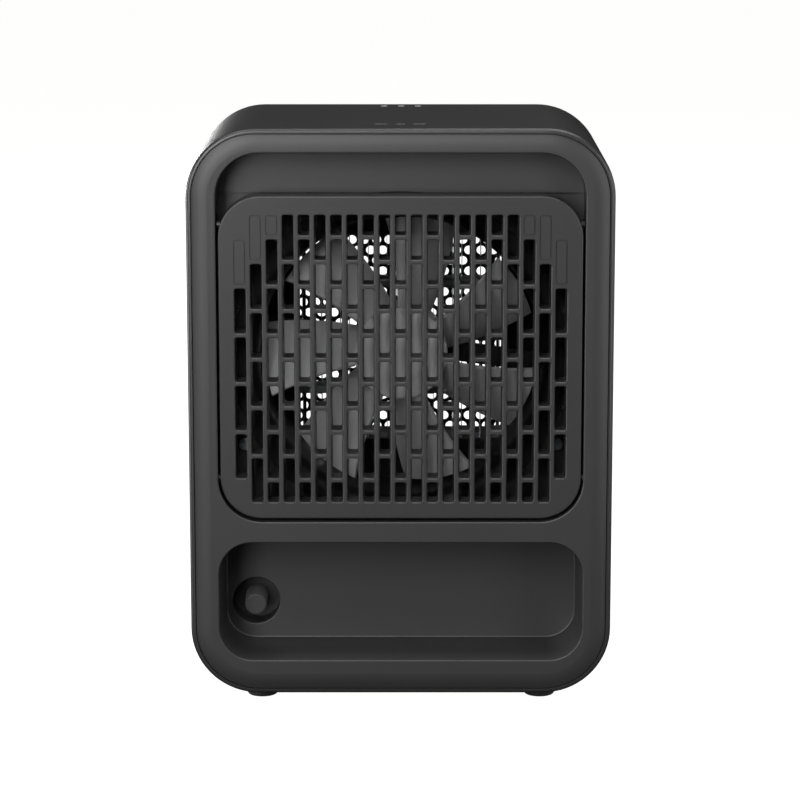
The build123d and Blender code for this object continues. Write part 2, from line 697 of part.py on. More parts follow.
with BuildPart() as element_tubes:
    for level in bar_levels:
        with BuildSketch(Plane(origin=(-element_half, element_mid, level), x_dir=(0, 1, 0), z_dir=(1, 0, 0))):
            RectangleRounded(element_depth, bar_height, 0.8)
            Rectangle(element_depth - 2 * bar_sheath, bar_height - 2 * bar_sheath, mode=Mode.SUBTRACT)
        extrude(amount=2 * element_half)
save(element_tubes.part, "element_tubes")

stone_pitch = (2 * element_half - 2.0) / stone_count
with BuildPart() as ceramic_stones:
    for level in bar_levels:
        with Locations((0, element_mid, level)):
            with GridLocations(stone_pitch, 1, stone_count, 1):
                Box(stone_pitch - 0.4, element_depth - 2 * bar_sheath, bar_height - 2 * bar_sheath)
save(ceramic_stones.part, "ceramic_stones")

leg_count = int(2 * element_half / fin_pitch)
with BuildPart() as element_fins:
    for gap in range(bar_count + 1):
        gap_mid = -element_half + gap * (fin_gap + bar_height) + fin_gap / 2
        with BuildSketch(wall_plane(element_rear + 0.5, axis_z + gap_mid)):
            with GridLocations(fin_pitch, 1, leg_count, 1):
                Rectangle(fin_thickness, fin_gap)
            for leg in range(leg_count - 1):
                crest = (fin_gap - fin_thickness) / 2 * (1 if leg % 2 else -1)
                with Locations(((leg + 1 - leg_count / 2) * fin_pitch, crest)):
                    Rectangle(fin_pitch, fin_thickness)
        extrude(amount=-(element_depth - 1.0))
save(element_fins.part, "element_fins")

with BuildPart() as element_terminals:
    for level in bar_levels:
        with Locations((element_half + 6.0, element_mid, level)):
            Box(12.0, 6.3, 0.8)
save(element_terminals.part, "element_terminals")

holder_top = axis_z + element_half + 4.8
cutout_x = 18.0
with BuildPart() as thermal_cutout:
    with BuildSketch(Plane(origin=(cutout_x, element_mid, holder_top), z_dir=(0, 0, 1))):
        Circle(8.0)
    extrude(amount=4.5)
    with BuildSketch(Plane(origin=(cutout_x, element_mid, holder_top + 4.5), z_dir=(0, 0, 1))):
        Circle(6.5)
    extrude(amount=3.5)
    for side in (-1, 1):
        with Locations((cutout_x + side * 4.0, element_mid, holder_top + 11.0)):
            Box(0.8, 6.3, 7.0)
save(thermal_cutout.part, "thermal_cutout")

fuse_start = -34.0
fuse_body = 11.0
fuse_lead = 8.0
with BuildPart() as thermal_fuse:
    for lead, radius in ((0.0, 2.0), (fuse_lead, 0.5)):
        start = (fuse_start - lead, element_mid, holder_top + 2.0)
        with BuildSketch(Plane(origin=start, x_dir=(0, 1, 0), z_dir=(1, 0, 0))):
            Circle(radius)
        extrude(amount=fuse_body + 2 * lead)
save(thermal_fuse.part, "thermal_fuse")

# ---------------------------------------------------------------- selector
with BuildPart() as selector_knob:
    with BuildSketch(wall_plane(dish_floor + 0.6, knob_z)):
        Circle(knob_radius)
    extrude(amount=-3.2)
    fillet(selector_knob.faces().sort_by(Axis.Y)[-1].edges(), 1.0)
    with BuildSketch(wall_plane(dish_floor + 3.0, knob_z)):
        SlotOverall(2 * knob_radius - 1.0, 8.5, rotation=90)
    extrude(amount=-(face - 0.4 - dish_floor - 3.0))
    fillet(selector_knob.faces().sort_by(Axis.Y)[-1].edges(), 1.2)
    with BuildSketch(wall_plane(dish_floor, knob_z)):
        Circle(9.5)
    extrude(amount=-2.6, mode=Mode.SUBTRACT)
    with BuildSketch(wall_plane(dish_floor, knob_z)):
        Circle(spindle_radius)
    extrude(amount=-6.6, mode=Mode.SUBTRACT)
    # pointer groove on the grip
    with BuildSketch(wall_plane(face - 0.9, knob_z + knob_radius - 6.0)):
        SlotOverall(8.0, 1.2, rotation=90)
    extrude(amount=-2.0, mode=Mode.SUBTRACT)
save(selector_knob.part, "selector_knob")


def selector_ring(y, length, outer, inner):
    """A tube about the selector's spindle from y, length long along +Y."""
    with BuildPart() as tube:
        with BuildSketch(wall_plane(y, knob_z)):
            Circle(outer)
            if inner:
                Circle(inner, mode=Mode.SUBTRACT)
        extrude(amount=-length)
    return tube.part


switch_front = dish_floor - skin
spindle_rear = switch_front - 10.0
save(selector_ring(spindle_rear, dish_floor + 6.6 - spindle_rear, spindle_radius, 0), "selector_spindle")

with BuildPart() as selector_switch:
    with BuildSketch(wall_plane(switch_front - switch_depth, knob_z)):
        RectangleRounded(switch_size, switch_size, 2.0)
    extrude(amount=-switch_depth)
    add(selector_ring(switch_front, skin + 2.4, bush_radius, 0))
    add(selector_ring(spindle_rear - 0.2, skin + 13.0, spindle_radius + 0.05, 0), mode=Mode.SUBTRACT)
    with BuildSketch(wall_plane(switch_front - switch_depth - 7.0, knob_z)):
        with GridLocations(9.0, 14.0, 3, 2):
            Rectangle(6.3, 0.8)
    extrude(amount=-7.0)
save(selector_switch.part, "selector_switch")

with BuildPart() as switch_nut:
    with BuildSketch(wall_plane(dish_floor, knob_z)):
        RegularPolygon(8.0, 6)
        Circle(bush_radius, mode=Mode.SUBTRACT)
    extrude(amount=-2.2)
save(switch_nut.part, "switch_nut")

# ---------------------------------------------------------------- indicator
with BuildPart() as indicator_lens:
    with BuildSketch(wall_plane(face - 3.8 - 1.6, knob_z, lens_x)):
        Circle(lens_radius + 1.4)
    extrude(amount=-1.6)
    with BuildSketch(wall_plane(face - 3.8, knob_z, lens_x)):
        Circle(lens_radius)
    extrude(amount=-3.8)
save(indicator_lens.part, "indicator_lens")

with BuildPart() as indicator_lamp:
    with BuildSketch(wall_plane(face - 5.4 - 9.0, knob_z, lens_x)):
        Circle(2.6)
    extrude(amount=-9.0)
    with BuildSketch(wall_plane(face - 5.4 - 15.0, knob_z, lens_x)):
        with GridLocations(2.6, 1, 2, 1):
            Circle(0.4)
    extrude(amount=-6.0)
save(indicator_lamp.part, "indicator_lamp")

# ---------------------------------------------------------------- wiring blocks and tip-over switch
block_x = 46.0
block_y = 4.0
pole_pitch = 11.0
with BuildPart() as terminal_block:
    with Locations((block_x, block_y, floor_z + 8.0)):
        Box(34.0, 15.0, 16.0)
    with Locations((block_x, block_y, floor_z + 13.0)):
        with GridLocations(pole_pitch, 1, 3, 1):
            Box(6.5, 16.0, 6.2, mode=Mode.SUBTRACT)
save(terminal_block.part, "terminal_block")

with BuildPart() as terminal_screws:
    with BuildSketch(Plane.XY.offset(floor_z + 9.9)):
        with Locations([(block_x + pole_pitch * k, block_y) for k in (-1, 0, 1)]):
            Circle(2.4)
    extrude(amount=3.4)
save(terminal_screws.part, "terminal_screws")

with BuildPart() as tip_switch:
    with Locations((-6.0, block_y, floor_z + 10.0)):
        Box(24.0, 20.0, 20.0)
    fillet(tip_switch.edges().filter_by(Axis.Z), 3.0)
save(tip_switch.part, "tip_switch")

# ---------------------------------------------------------------- cord gland and clamp
cup_back = recess_wall_y + gland_depth
with BuildPart() as cord_gland:
    with BuildSketch(wall_plane(recess_wall_y - boot_stand, gland_z, gland_x)):
        Circle(boot_radius)
    extrude(amount=-(boot_stand + gland_depth + 9.0))
    fillet(cord_gland.faces().sort_by(Axis.Y)[0].edges(), 0.8)
    with BuildSketch(wall_plane(cup_back, gland_z, gland_x)):
        Circle(boot_flange)
    extrude(amount=-2.0)
save(cord_gland.part, "cord_gland")

clamp_spots = [(gland_x - clamp_reach, gland_z), (gland_x + clamp_reach, gland_z)]
with BuildPart() as cord_clamp:
    with BuildSketch(wall_plane(cup_back + 2.0, gland_z, gland_x)):
        SlotOverall(2 * clamp_reach + 8.0, 18.0)
        Circle(boot_radius, mode=Mode.SUBTRACT)
        with Locations((-clamp_reach, 0), (clamp_reach, 0)):
            Circle(screw_radius + 0.2, mode=Mode.SUBTRACT)
    extrude(amount=-3.0)
save(cord_clamp.part, "cord_clamp")
clamp_planes = [Plane(origin=(x, cup_back + 5.0 + screw_head, z), x_dir=(1, 0, 0), z_dir=(0, 1, 0))
                for x, z in clamp_spots]
save(pan_screws(clamp_planes, 9.0), "clamp_screws")

# ---------------------------------------------------------------- feet
with BuildPart() as feet:
    with BuildSketch(Plane.XY):
        with Locations(foot_spots):
            Circle(foot_radius)
    extrude(amount=foot_height)
    fillet(feet.edges().group_by(Axis.Z)[0], 1.2)
    add(foot_columns(foot_height, wall, 2.6))
    add(foot_columns(0, screw_head + 0.6, screw_head_radius + 0.2), mode=Mode.SUBTRACT)
    add(foot_columns(0, 10.0, screw_radius), mode=Mode.SUBTRACT)
save(feet.part, "feet")
foot_planes = [Plane(origin=(x, y, 0.6), x_dir=(1, 0, 0), z_dir=(0, 0, -1)) for x, y in foot_spots]
save(pan_screws(foot_planes, 10.0), "foot_screws")
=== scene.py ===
"""Finishes, printed marks and studio for a compact ceramic fan heater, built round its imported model.

Sizes in this file are in millimetres and become metres through MM where a mesh, a light or a pattern is made.
The frame is the model's own: +Z up, +Y along the air stream, +X to the right as seen from the slotted intake.
"""

import sys
import logging
import math
from collections.abc import Sequence
from dataclasses import dataclass
from enum import Enum

import bmesh
import bpy
from mathutils import Matrix, Vector


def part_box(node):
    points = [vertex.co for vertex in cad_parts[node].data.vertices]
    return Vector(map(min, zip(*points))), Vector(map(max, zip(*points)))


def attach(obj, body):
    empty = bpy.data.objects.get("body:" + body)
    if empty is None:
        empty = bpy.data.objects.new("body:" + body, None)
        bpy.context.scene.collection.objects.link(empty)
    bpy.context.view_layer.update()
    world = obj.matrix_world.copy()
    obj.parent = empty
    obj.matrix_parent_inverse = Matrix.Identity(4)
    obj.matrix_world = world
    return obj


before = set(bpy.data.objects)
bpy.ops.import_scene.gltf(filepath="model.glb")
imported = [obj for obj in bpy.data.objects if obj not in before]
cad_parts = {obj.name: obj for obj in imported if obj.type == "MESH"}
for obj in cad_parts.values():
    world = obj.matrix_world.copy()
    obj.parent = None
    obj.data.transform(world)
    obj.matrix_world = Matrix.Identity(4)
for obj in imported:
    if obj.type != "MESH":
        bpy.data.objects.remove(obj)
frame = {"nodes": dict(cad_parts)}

MM = 0.001
LOG = logging.getLogger("heater")

Point = tuple[float, float]
Place = tuple[float, float, float]
Ring = tuple[list[Point], list[Point]]


def linear(colour: str) -> tuple[float, float, float, float]:
    """Turns an sRGB hex colour into linear light.

    Args:
        colour: the colour as "#rrggbb".

    Returns:
        Linear red, green, blue and an alpha of 1.
    """
    shares = [int(colour[start:start + 2], 16) / 255 for start in (1, 3, 5)]
    red, green, blue = (s / 12.92 if s <= 0.04045 else ((s + 0.055) / 1.055) ** 2.4 for s in shares)
    return red, green, blue, 1.0


def add_node(
    tree: bpy.types.NodeTree,
    kind: str,
    settings: dict[str | int, object] | None = None,
    links: dict[str | int, bpy.types.NodeSocket] | None = None,
) -> bpy.types.Node:
    """Adds one node with its settings and links.

    Args:
        tree: the node tree it goes into.
        kind: the node's type name.
        settings: values by the name of a property of the node, or by the name or number of an input.
        links: sockets that feed the node's inputs, by the name or number of the input.

    Returns:
        The new node.
    """
    node = tree.nodes.new(kind)
    for key, value in (settings or {}).items():
        if isinstance(key, str) and hasattr(node, key):
            setattr(node, key, value)
        else:
            node.inputs[key].default_value = value
    for key, socket in (links or {}).items():
        tree.links.new(socket, node.inputs[key])
    return node


class Lay(Enum):
    """Which way the fine lines of a worked metal run."""

    ALONG_AIR = (1.0, 0.04, 1.0)
    EVEN = (1.0, 1.0, 1.0)


# ------------------------------------------------------------------ finishes
@dataclass(frozen=True)
class Finish:
    """What every finish has: a name, a base colour and a base roughness."""

    name: str
    colour: str
    roughness: float

    def material(self) -> bpy.types.Material:
        """Returns this finish's material, made the first time it is asked for."""
        return bpy.data.materials.get(self.name) or self.mix_material()

    def mix_material(self) -> bpy.types.Material:
        """Makes the material's nodes round a Principled shader.

        Returns:
            The new material.
        """
        material = bpy.data.materials.new(self.name)
        material.use_nodes = True
        tree = material.node_tree
        tree.nodes.clear()
        place = add_node(tree, "ShaderNodeTexCoord").outputs["Object"]
        shader = add_node(tree, "ShaderNodeBsdfPrincipled")
        shader.inputs["Base Color"].default_value = linear(self.colour)
        shader.inputs["Roughness"].default_value = self.roughness
        add_node(tree, "ShaderNodeOutputMaterial", links={"Surface": shader.outputs["BSDF"]})
        self.dress(tree, shader, place)
        return material

    def dress(self, tree: bpy.types.NodeTree, shader: bpy.types.Node, place: bpy.types.NodeSocket) -> None:
        """Adds what sets this finish apart to the shader.

        Args:
            tree: the material's node tree.
            shader: its Principled shader.
            place: the position on the piece, in metres.
        """


@dataclass(frozen=True)
class MouldedPlastic(Finish):
    """Injection-moulded plastic from a spark-eroded or polished tool.

    The eye gets a broad soft highlight, broken up by the tool's even grain, and faint clouds in tone and
    gloss where the melt cooled at different rates.
    """

    cloud: str = "#303030"
    ior: float = 1.54
    grain_mm: float = 0.45
    grain_depth_mm: float = 0.004
    cloud_mm: float = 38.0
    gloss_spread: float = 0.05

    def dress(self, tree: bpy.types.NodeTree, shader: bpy.types.Node, place: bpy.types.NodeSocket) -> None:
        """Adds tone clouds, gloss clouds and the tool's grain.

        Args:
            tree: the material's node tree.
            shader: its Principled shader.
            place: the position on the piece, in metres.
        """
        shader.inputs["IOR"].default_value = self.ior
        clouds = add_node(
            tree, "ShaderNodeTexNoise", {"Scale": 1 / (self.cloud_mm * MM), "Detail": 3.0}, {"Vector": place}
        )
        tone = add_node(
            tree, "ShaderNodeMix",
            {"data_type": "RGBA", 6: linear(self.cloud), 7: linear(self.colour)},
            {0: clouds.outputs["Fac"]},
        )
        tree.links.new(tone.outputs[2], shader.inputs["Base Color"])
        # A spark-eroded tool leaves a grain of about 0.1 to 0.2 mm. It is drawn two to three times coarser, so
        # that it still shows at the distance the heater is seen from.
        grain = add_node(
            tree, "ShaderNodeTexNoise",
            {"Scale": 1 / (self.grain_mm * MM), "Detail": 2.0, "Roughness": 0.6},
            {"Vector": place},
        )
        gloss = add_node(
            tree, "ShaderNodeMapRange",
            {"To Min": self.roughness - self.gloss_spread, "To Max": self.roughness + self.gloss_spread},
            {"Value": clouds.outputs["Fac"]},
        )
        tree.links.new(gloss.outputs["Result"], shader.inputs["Roughness"])
        bump = add_node(
            tree, "ShaderNodeBump",
            {"Strength": 0.6, "Distance": self.grain_depth_mm * MM},
            {"Height": grain.outputs["Fac"]},
        )
        tree.links.new(bump.outputs["Normal"], shader.inputs["Normal"])


@dataclass(frozen=True)
class WorkedMetal(Finish):
    """Rolled, drawn or turned metal with the fine lines of its working, and a little tarnish.

    The eye gets a highlight stretched across the lines and duller patches of oxide.
    """

    tarnish: str = "#6b6b6b"
    lay: Lay = Lay.EVEN
    line_mm: float = 0.25
    line_depth_mm: float = 0.003
    tarnish_mm: float = 6.0

    def dress(self, tree: bpy.types.NodeTree, shader: bpy.types.Node, place: bpy.types.NodeSocket) -> None:
        """Adds the working lines and the patches of tarnish.

        Args:
            tree: the material's node tree.
            shader: its Principled shader.
            place: the position on the piece, in metres.
        """
        shader.inputs["Metallic"].default_value = 1.0
        patches = add_node(
            tree, "ShaderNodeTexNoise", {"Scale": 1 / (self.tarnish_mm * MM), "Detail": 4.0}, {"Vector": place}
        )
        tone = add_node(
            tree, "ShaderNodeMix",
            {"data_type": "RGBA", 6: linear(self.tarnish), 7: linear(self.colour)},
            {0: patches.outputs["Fac"]},
        )
        tree.links.new(tone.outputs[2], shader.inputs["Base Color"])
        # Drawing and rolling lines are 0.02 to 0.1 mm apart. They are drawn at about 0.25 mm, the finest that
        # shows.
        stretched = add_node(
            tree, "ShaderNodeVectorMath", {"operation": "MULTIPLY", 1: self.lay.value}, {0: place}
        )
        lines = add_node(
            tree, "ShaderNodeTexNoise", {"Scale": 1 / (self.line_mm * MM), "Detail": 2.0},
            {"Vector": stretched.outputs["Vector"]},
        )
        dull = add_node(
            tree, "ShaderNodeMapRange",
            {"To Min": self.roughness + 0.12, "To Max": self.roughness - 0.08},
            {"Value": patches.outputs["Fac"]},
        )
        tree.links.new(dull.outputs["Result"], shader.inputs["Roughness"])
        bump = add_node(
            tree, "ShaderNodeBump",
            {"Strength": 0.5, "Distance": self.line_depth_mm * MM},
            {"Height": lines.outputs["Fac"]},
        )
        tree.links.new(bump.outputs["Normal"], shader.inputs["Normal"])


@dataclass(frozen=True)
class MouldedRubber(Finish):
    """Compression-moulded elastomer, dusty where it has bloomed.

    The eye gets an almost even dark surface with a grey veil at grazing angles and no clear highlight.
    """

    bloom: str = "#3a3a3b"
    speck_mm: float = 0.8
    speck_depth_mm: float = 0.006

    def dress(self, tree: bpy.types.NodeTree, shader: bpy.types.Node, place: bpy.types.NodeSocket) -> None:
        """Adds the bloom's specks and veil.

        Args:
            tree: the material's node tree.
            shader: its Principled shader.
            place: the position on the piece, in metres.
        """
        shader.inputs["IOR"].default_value = 1.52
        shader.inputs["Sheen Weight"].default_value = 0.12
        shader.inputs["Sheen Roughness"].default_value = 0.5
        # Bloom sits in specks of under 0.3 mm. They are drawn at 0.8 mm, so that they read as a dusty surface.
        specks = add_node(
            tree, "ShaderNodeTexNoise",
            {"Scale": 1 / (self.speck_mm * MM), "Detail": 5.0, "Roughness": 0.7},
            {"Vector": place},
        )
        veil = add_node(
            tree, "ShaderNodeMapRange",
            {"From Min": 0.45, "From Max": 0.8, "To Max": 0.5},
            {"Value": specks.outputs["Fac"]},
        )
        tone = add_node(
            tree, "ShaderNodeMix",
            {"data_type": "RGBA", 6: linear(self.colour), 7: linear(self.bloom)},
            {0: veil.outputs["Result"]},
        )
        tree.links.new(tone.outputs[2], shader.inputs["Base Color"])
        bump = add_node(
            tree, "ShaderNodeBump",
            {"Strength": 0.5, "Distance": self.speck_depth_mm * MM},
            {"Height": specks.outputs["Fac"]},
        )
        tree.links.new(bump.outputs["Normal"], shader.inputs["Normal"])


@dataclass(frozen=True)
class FiredCeramic(Finish):
    """Pressed and sintered barium titanate, silvered on its faces.

    The eye gets a dry, open-pored surface, darker in its pores by painted shade.
    """

    # Darker tone painted into the pits as shade.
    pore_shade: str = "#5c5a56"
    pore_mm: float = 0.5
    pore_depth_mm: float = 0.02

    def dress(self, tree: bpy.types.NodeTree, shader: bpy.types.Node, place: bpy.types.NodeSocket) -> None:
        """Adds the pores of the sintered body, sunk by the bump and darkened with painted shade.

        Args:
            tree: the material's node tree.
            shader: its Principled shader.
            place: the position on the piece, in metres.
        """
        shader.inputs["IOR"].default_value = 1.6
        # Pores of a sintered stone are about 0.05 mm. They are drawn at 0.5 mm, so that the body looks open.
        pores = add_node(tree, "ShaderNodeTexVoronoi", {"Scale": 1 / (self.pore_mm * MM)}, {"Vector": place})
        pore_depth_and_shade = add_node(tree, "ShaderNodeMapRange", {"From Max": 0.35}, {"Value": pores.outputs["Distance"]})
        # The pits the bump sinks are mixed towards the darker pore tone: painted shade in the pores.
        tone = add_node(
            tree, "ShaderNodeMix",
            {"data_type": "RGBA", 6: linear(self.pore_shade), 7: linear(self.colour)},
            {0: pore_depth_and_shade.outputs["Result"]},
        )
        tree.links.new(tone.outputs[2], shader.inputs["Base Color"])
        bump = add_node(
            tree, "ShaderNodeBump",
            {"Strength": 0.5, "Distance": self.pore_depth_mm * MM},
            {"Height": pore_depth_and_shade.outputs["Result"]},
        )
        tree.links.new(bump.outputs["Normal"], shader.inputs["Normal"])


@dataclass(frozen=True)
class ClearLens(Finish):
    """Tinted polycarbonate, moulded in a polished tool.

    The eye gets a wet highlight on a deep colour that pales where the light comes through.
    """

    ripple_mm: float = 1.5
    frosting: float = 0.12

    def dress(self, tree: bpy.types.NodeTree, shader: bpy.types.Node, place: bpy.types.NodeSocket) -> None:
        """Lets light through and frosts the lens a little.

        Args:
            tree: the material's node tree.
            shader: its Principled shader.
            place: the position on the piece, in metres.
        """
        shader.inputs["IOR"].default_value = 1.585
        shader.inputs["Transmission Weight"].default_value = 0.7
        ripples = add_node(
            tree, "ShaderNodeTexNoise", {"Scale": 1 / (self.ripple_mm * MM), "Detail": 1.0}, {"Vector": place}
        )
        frost = add_node(
            tree, "ShaderNodeMapRange",
            {"To Min": self.roughness, "To Max": self.roughness + self.frosting},
            {"Value": ripples.outputs["Fac"]},
        )
        tree.links.new(frost.outputs["Result"], shader.inputs["Roughness"])


@dataclass(frozen=True)
class PadPrint(Finish):
    """Solvent ink laid on by a silicone pad.

    The eye gets a flat, slightly thin film that lets the plastic's tone through in places.
    """

    thin: str = "#9a9a9a"
    spot_mm: float = 0.3

    def dress(self, tree: bpy.types.NodeTree, shader: bpy.types.Node, place: bpy.types.NodeSocket) -> None:
        """Thins the ink in places.

        Args:
            tree: the material's node tree.
            shader: its Principled shader.
            place: the position on the piece, in metres.
        """
        shader.inputs["IOR"].default_value = 1.5
        # The ink's starved spots are about 0.3 mm across, which is also the finest that shows.
        spots = add_node(
            tree, "ShaderNodeTexNoise", {"Scale": 1 / (self.spot_mm * MM), "Detail": 3.0}, {"Vector": place}
        )
        tone = add_node(
            tree, "ShaderNodeMix",
            {"data_type": "RGBA", 6: linear(self.thin), 7: linear(self.colour)},
            {0: spots.outputs["Fac"]},
        )
        tree.links.new(tone.outputs[2], shader.inputs["Base Color"])


# Charcoal ABS of the outside. The sleeve's tool is more polished than the covers', so it catches more light.
SLEEVE_ABS = MouldedPlastic("charcoal_abs_sleeve", "#343434", 0.30, cloud="#323232", gloss_spread=0.02)
COVER_ABS = MouldedPlastic("charcoal_abs_cover", "#343434", 0.44, cloud="#323232", gloss_spread=0.02)
PANEL_ABS = MouldedPlastic("charcoal_abs_panel", "#343434", 0.40, cloud="#323232", gloss_spread=0.02)
KNOB_ABS = MouldedPlastic("charcoal_abs_knob", "#3b3b3b", 0.36, cloud="#363636", grain_mm=0.35)
# Flame-retardant polypropylene of the inner ducts: jet black and duller than the outside.
DUCT_PP = MouldedPlastic("black_polypropylene_duct", "#161616", 0.5, cloud="#101010", ior=1.49, grain_mm=0.6)
GRILLE_PPS = MouldedPlastic("black_heat_resin_grille", "#1b1b1c", 0.45, cloud="#141415", ior=1.6)
# Pale polypropylene of the impeller, set lighter than its likely grey because little light gets past the panel.
FAN_PP = MouldedPlastic(
    "grey_polypropylene_fan", "#f2f2f2", 0.34, cloud="#ebebeb", ior=1.49, grain_mm=0.5, gloss_spread=0.03
)
# Mica-filled resin round the hot element: a warm beige-brown that has no gloss.
HEAT_RESIN = MouldedPlastic(
    "mica_filled_heat_resin", "#4a443d", 0.62, cloud="#3b362f", ior=1.6, grain_mm=0.7, grain_depth_mm=0.01
)
NYLON = MouldedPlastic("natural_nylon", "#c9c4b4", 0.42, cloud="#b9b4a3", ior=1.53, grain_mm=0.5)
RUBBER = MouldedRubber("black_moulded_rubber", "#1d1d1d", 0.7)
GLAND_PVC = MouldedRubber("soft_pvc_gland", "#333333", 0.55, bloom="#3c3c3c")
SCREW_STEEL = WorkedMetal("zinc_plated_screw_steel", "#b9bcc0", 0.34, tarnish="#8d9095")
MOTOR_STEEL = WorkedMetal("drawn_steel_motor_can", "#a9abae", 0.38, tarnish="#7b7d80", lay=Lay.ALONG_AIR)
STATOR_STEEL = WorkedMetal("stamped_silicon_steel", "#6f6b68", 0.5, tarnish="#4d4744", line_mm=0.5)
BRASS = WorkedMetal("turned_brass", "#c79b4b", 0.3, tarnish="#8b6a35")
ALUMINIUM = WorkedMetal("rolled_aluminium_fin", "#c3c5c7", 0.36, tarnish="#96989b", lay=Lay.ALONG_AIR)
PTC_STONE = FiredCeramic("sintered_barium_titanate", "#8a8780", 0.75)
AMBER_LENS = ClearLens("amber_polycarbonate_lens", "#c2571a", 0.12)
WHITE_INK = PadPrint("white_pad_print", "#c9c9c9", 0.55, thin="#a8a8a8")
GREY_INK = PadPrint("grey_pad_print", "#8a8a8a", 0.55, thin="#6f6f6f")


# ------------------------------------------------------------------ flat marks
def ring_outline(radius: float, centre: Point = (0.0, 0.0), steps: int = 40) -> list[Point]:
    """Gives the points of a circle.

    Args:
        radius: its radius, in millimetres.
        centre: its middle.
        steps: how many points it has.

    Returns:
        The points, counter-clockwise.
    """
    turns = [2 * math.pi * step / steps for step in range(steps)]
    return [(centre[0] + radius * math.cos(turn), centre[1] + radius * math.sin(turn)) for turn in turns]


def dash_outline(
    length: float, width: float, centre: Point, angle: float = 0.0, steps: int = 10
) -> list[Point]:
    """Gives the points of a bar with round ends.

    Args:
        length: its overall length, in millimetres.
        width: its width.
        centre: its middle.
        angle: how far it is turned from the first axis, in radians.
        steps: how many spans each round end has.

    Returns:
        The points, counter-clockwise.
    """
    reach = (length - width) / 2
    points = []
    for end in (1, -1):
        for step in range(steps + 1):
            turn = math.pi * (step / steps - 0.5)
            along = end * (reach + width / 2 * math.cos(turn))
            across = end * width / 2 * math.sin(turn)
            points.append((
                centre[0] + along * math.cos(angle) - across * math.sin(angle),
                centre[1] + along * math.sin(angle) + across * math.cos(angle),
            ))
    return points


@dataclass(frozen=True)
class InkFilm:
    """A set of flat marks printed on one face, with the thickness of the ink."""

    name: str
    plane: Matrix
    finish: Finish
    body: str
    slot: str
    thickness: float = 0.03

    def add_loop(self, mesh: bmesh.types.BMesh, outline: list[Point], level: float) -> list[bmesh.types.BMVert]:
        """Adds an outline's points to the mesh.

        Args:
            mesh: the mesh they go into.
            outline: the points, in the printed plane.
            level: their height over the plane, in millimetres.

        Returns:
            The new vertices, in the outline's order.
        """
        return [mesh.verts.new(self.plane @ Vector((x * MM, y * MM, level * MM))) for x, y in outline]

    def lay_down(self, solid: Sequence[list[Point]], rings: Sequence[Ring] = ()) -> bpy.types.Object:
        """Builds the marks as one mesh and fixes it to its body.

        Args:
            solid: outlines that are filled.
            rings: pairs of an outer and an inner outline with the same number of points.

        Returns:
            The printed piece.
        """
        mesh = bmesh.new()
        for outline in solid:
            top = self.add_loop(mesh, outline, self.thickness)
            foot = self.add_loop(mesh, outline, 0.0)
            mesh.faces.new(top)
            mesh.faces.new(foot[::-1])
            for here in range(len(outline)):
                after = (here + 1) % len(outline)
                mesh.faces.new((foot[here], foot[after], top[after], top[here]))
        for outer, inner in rings:
            section = ((outer, 0.0), (outer, self.thickness), (inner, self.thickness), (inner, 0.0))
            loops = [self.add_loop(mesh, outline, level) for outline, level in section]
            for low, high in zip(loops, loops[1:] + loops[:1]):
                for here in range(len(outer)):
                    after = (here + 1) % len(outer)
                    mesh.faces.new((low[here], low[after], high[after], high[here]))
        bmesh.ops.recalc_face_normals(mesh, faces=mesh.faces)
        data = bpy.data.meshes.new(self.name)
        mesh.to_mesh(data)
        mesh.free()
        data.materials.append(self.finish.material())
        piece = bpy.data.objects.new(self.name, data)
        bpy.context.scene.collection.objects.link(piece)
        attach(piece, self.body)
        LOG.info("%s: %d faces, %s", self.name, len(data.polygons), self.finish.name)
        return piece


# ------------------------------------------------------------------ sub-assemblies
@dataclass
class SubAssembly:
    """Pieces that are made and fitted together."""

    nodes: dict[str, bpy.types.Object]

    def paint(self, finish: Finish, *names: str) -> None:
        """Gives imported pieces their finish.

        Args:
            finish: the finish.
            names: the pieces' names.
        """
        for name in names:
            slots = self.nodes[name].data.materials
            slots.clear()
            slots.append(finish.material())
            LOG.info("%s: %s", name, finish.name)

    def build(self) -> None:
        """Makes and finishes everything in this sub-assembly."""


@dataclass
class Housing(SubAssembly):
    """Sleeve, two covers and feet."""

    dot_radius: float = 1.6
    dot_pitch: float = 8.0
    dot_row_y: float = 47.0
    sign_row_y: float = -37.0
    sign_radius: float = 1.9
    sign_line: float = 0.45
    dash_length: float = 6.0
    dash_width: float = 1.1
    dash_x: float = 8.5

    def build(self) -> None:
        """Paints the shells and feet, and prints the marks on top."""
        self.paint(SLEEVE_ABS, "housing_sleeve")
        self.paint(COVER_ABS, "rear_cover", "front_cover")
        self.paint(RUBBER, "feet")
        self.paint(SCREW_STEEL, "foot_screws")
        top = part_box("housing_sleeve")[1].z
        self.print_dots(Matrix.Translation((0.0, self.dot_row_y * MM, top)))
        self.print_sign(Matrix.Translation((0.0, self.sign_row_y * MM, top)))

    def print_dots(self, plane: Matrix) -> None:
        """Prints the row of plain dots near the outlet edge.

        Args:
            plane: where the row's middle lies.
        """
        dots = [ring_outline(self.dot_radius, (step * self.dot_pitch, 0.0)) for step in (-1, 0, 1)]
        InkFilm("top_dots", plane, WHITE_INK, "housing", "shell").lay_down(dots)

    def print_sign(self, plane: Matrix) -> None:
        """Prints a plain ring between two dashes near the intake edge.

        Args:
            plane: where the ring's middle lies.
        """
        ring = (ring_outline(self.sign_radius), ring_outline(self.sign_radius - self.sign_line))
        centres = [(side * self.dash_x, 0.0) for side in (-1, 1)]
        dashes = [dash_outline(self.dash_length, self.dash_width, centre) for centre in centres]
        InkFilm("top_sign", plane, GREY_INK, "housing", "shell").lay_down(dashes, [ring])


@dataclass
class Intake(SubAssembly):
    """Tilting slotted panel at the rear."""

    def build(self) -> None:
        """Paints the panel."""
        self.paint(PANEL_ABS, "intake_panel")


